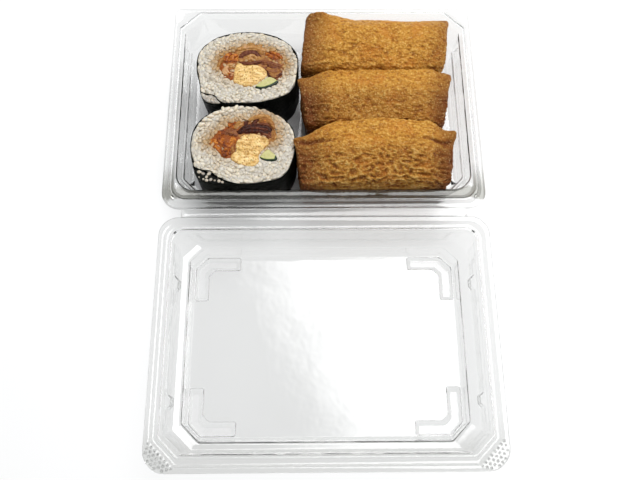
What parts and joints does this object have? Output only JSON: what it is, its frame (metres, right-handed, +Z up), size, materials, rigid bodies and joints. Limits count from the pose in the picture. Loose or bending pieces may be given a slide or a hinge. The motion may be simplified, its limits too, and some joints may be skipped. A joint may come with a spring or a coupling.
{
  "type": "takeaway sushi tray",
  "caption": "Clear plastic hinged takeaway tray, lid open, with thick rolled sushi slices and fried tofu pouches.",
  "frame": {"origin": "on the table under the hinge line, midway along it: the middle of the underside of the whole tray with its lid laid open", "axes": "+X to the right along the hinge, +Y from the hinge towards the filled tray, -Y towards the open lid, +Z up"},
  "size_m": [0.158, 0.2384, 0.0374],
  "materials": {
    "clear_plastic": "thin clear formed plastic, glossy",
    "nori": "dark seaweed sheet, slightly moist",
    "rice": "cooked white rice, moist grains",
    "egg": "layered rolled omelette, moist",
    "cucumber": "pale green cucumber flesh with a dark skin edge",
    "carrot": "orange simmered carrot, moist",
    "gourd": "brown simmered gourd strips, glossy with sauce",
    "fried_tofu": "golden brown wrinkled fried tofu skin, moist"
  },
  "bodies": {
    "tray": {"tray_shell": "clear_plastic", "nori_back": "nori", "nori_front": "nori", "rice_back": "rice", "rice_front": "rice", "egg_back": "egg", "egg_front": "egg", "cucumber_back": "cucumber", "cucumber_front": "cucumber", "carrot_a_back": "carrot", "carrot_b_back": "carrot", "carrot_a_front": "carrot", "carrot_b_front": "carrot", "carrot_c_front": "carrot", "carrot_d_front": "carrot", "carrot_e_front": "carrot", "gourd_a_back": "gourd", "gourd_b_back": "gourd", "gourd_c_back": "gourd", "gourd_d_back": "gourd", "gourd_a_front": "gourd", "gourd_b_front": "gourd", "gourd_c_front": "gourd", "gourd_d_front": "gourd", "pouch_back": "fried_tofu", "pouch_middle": "fried_tofu", "pouch_front": "fried_tofu"},
    "lid": {"lid_shell": "clear_plastic"}
  },
  "joints": [
    {"name": "lid_hinge", "type": "hinge", "parent": "tray", "child": "lid", "pos_m": [0, 0, 0.0262], "axis": [-1, 0, 0], "range_deg": [0, 180]}
  ]
}
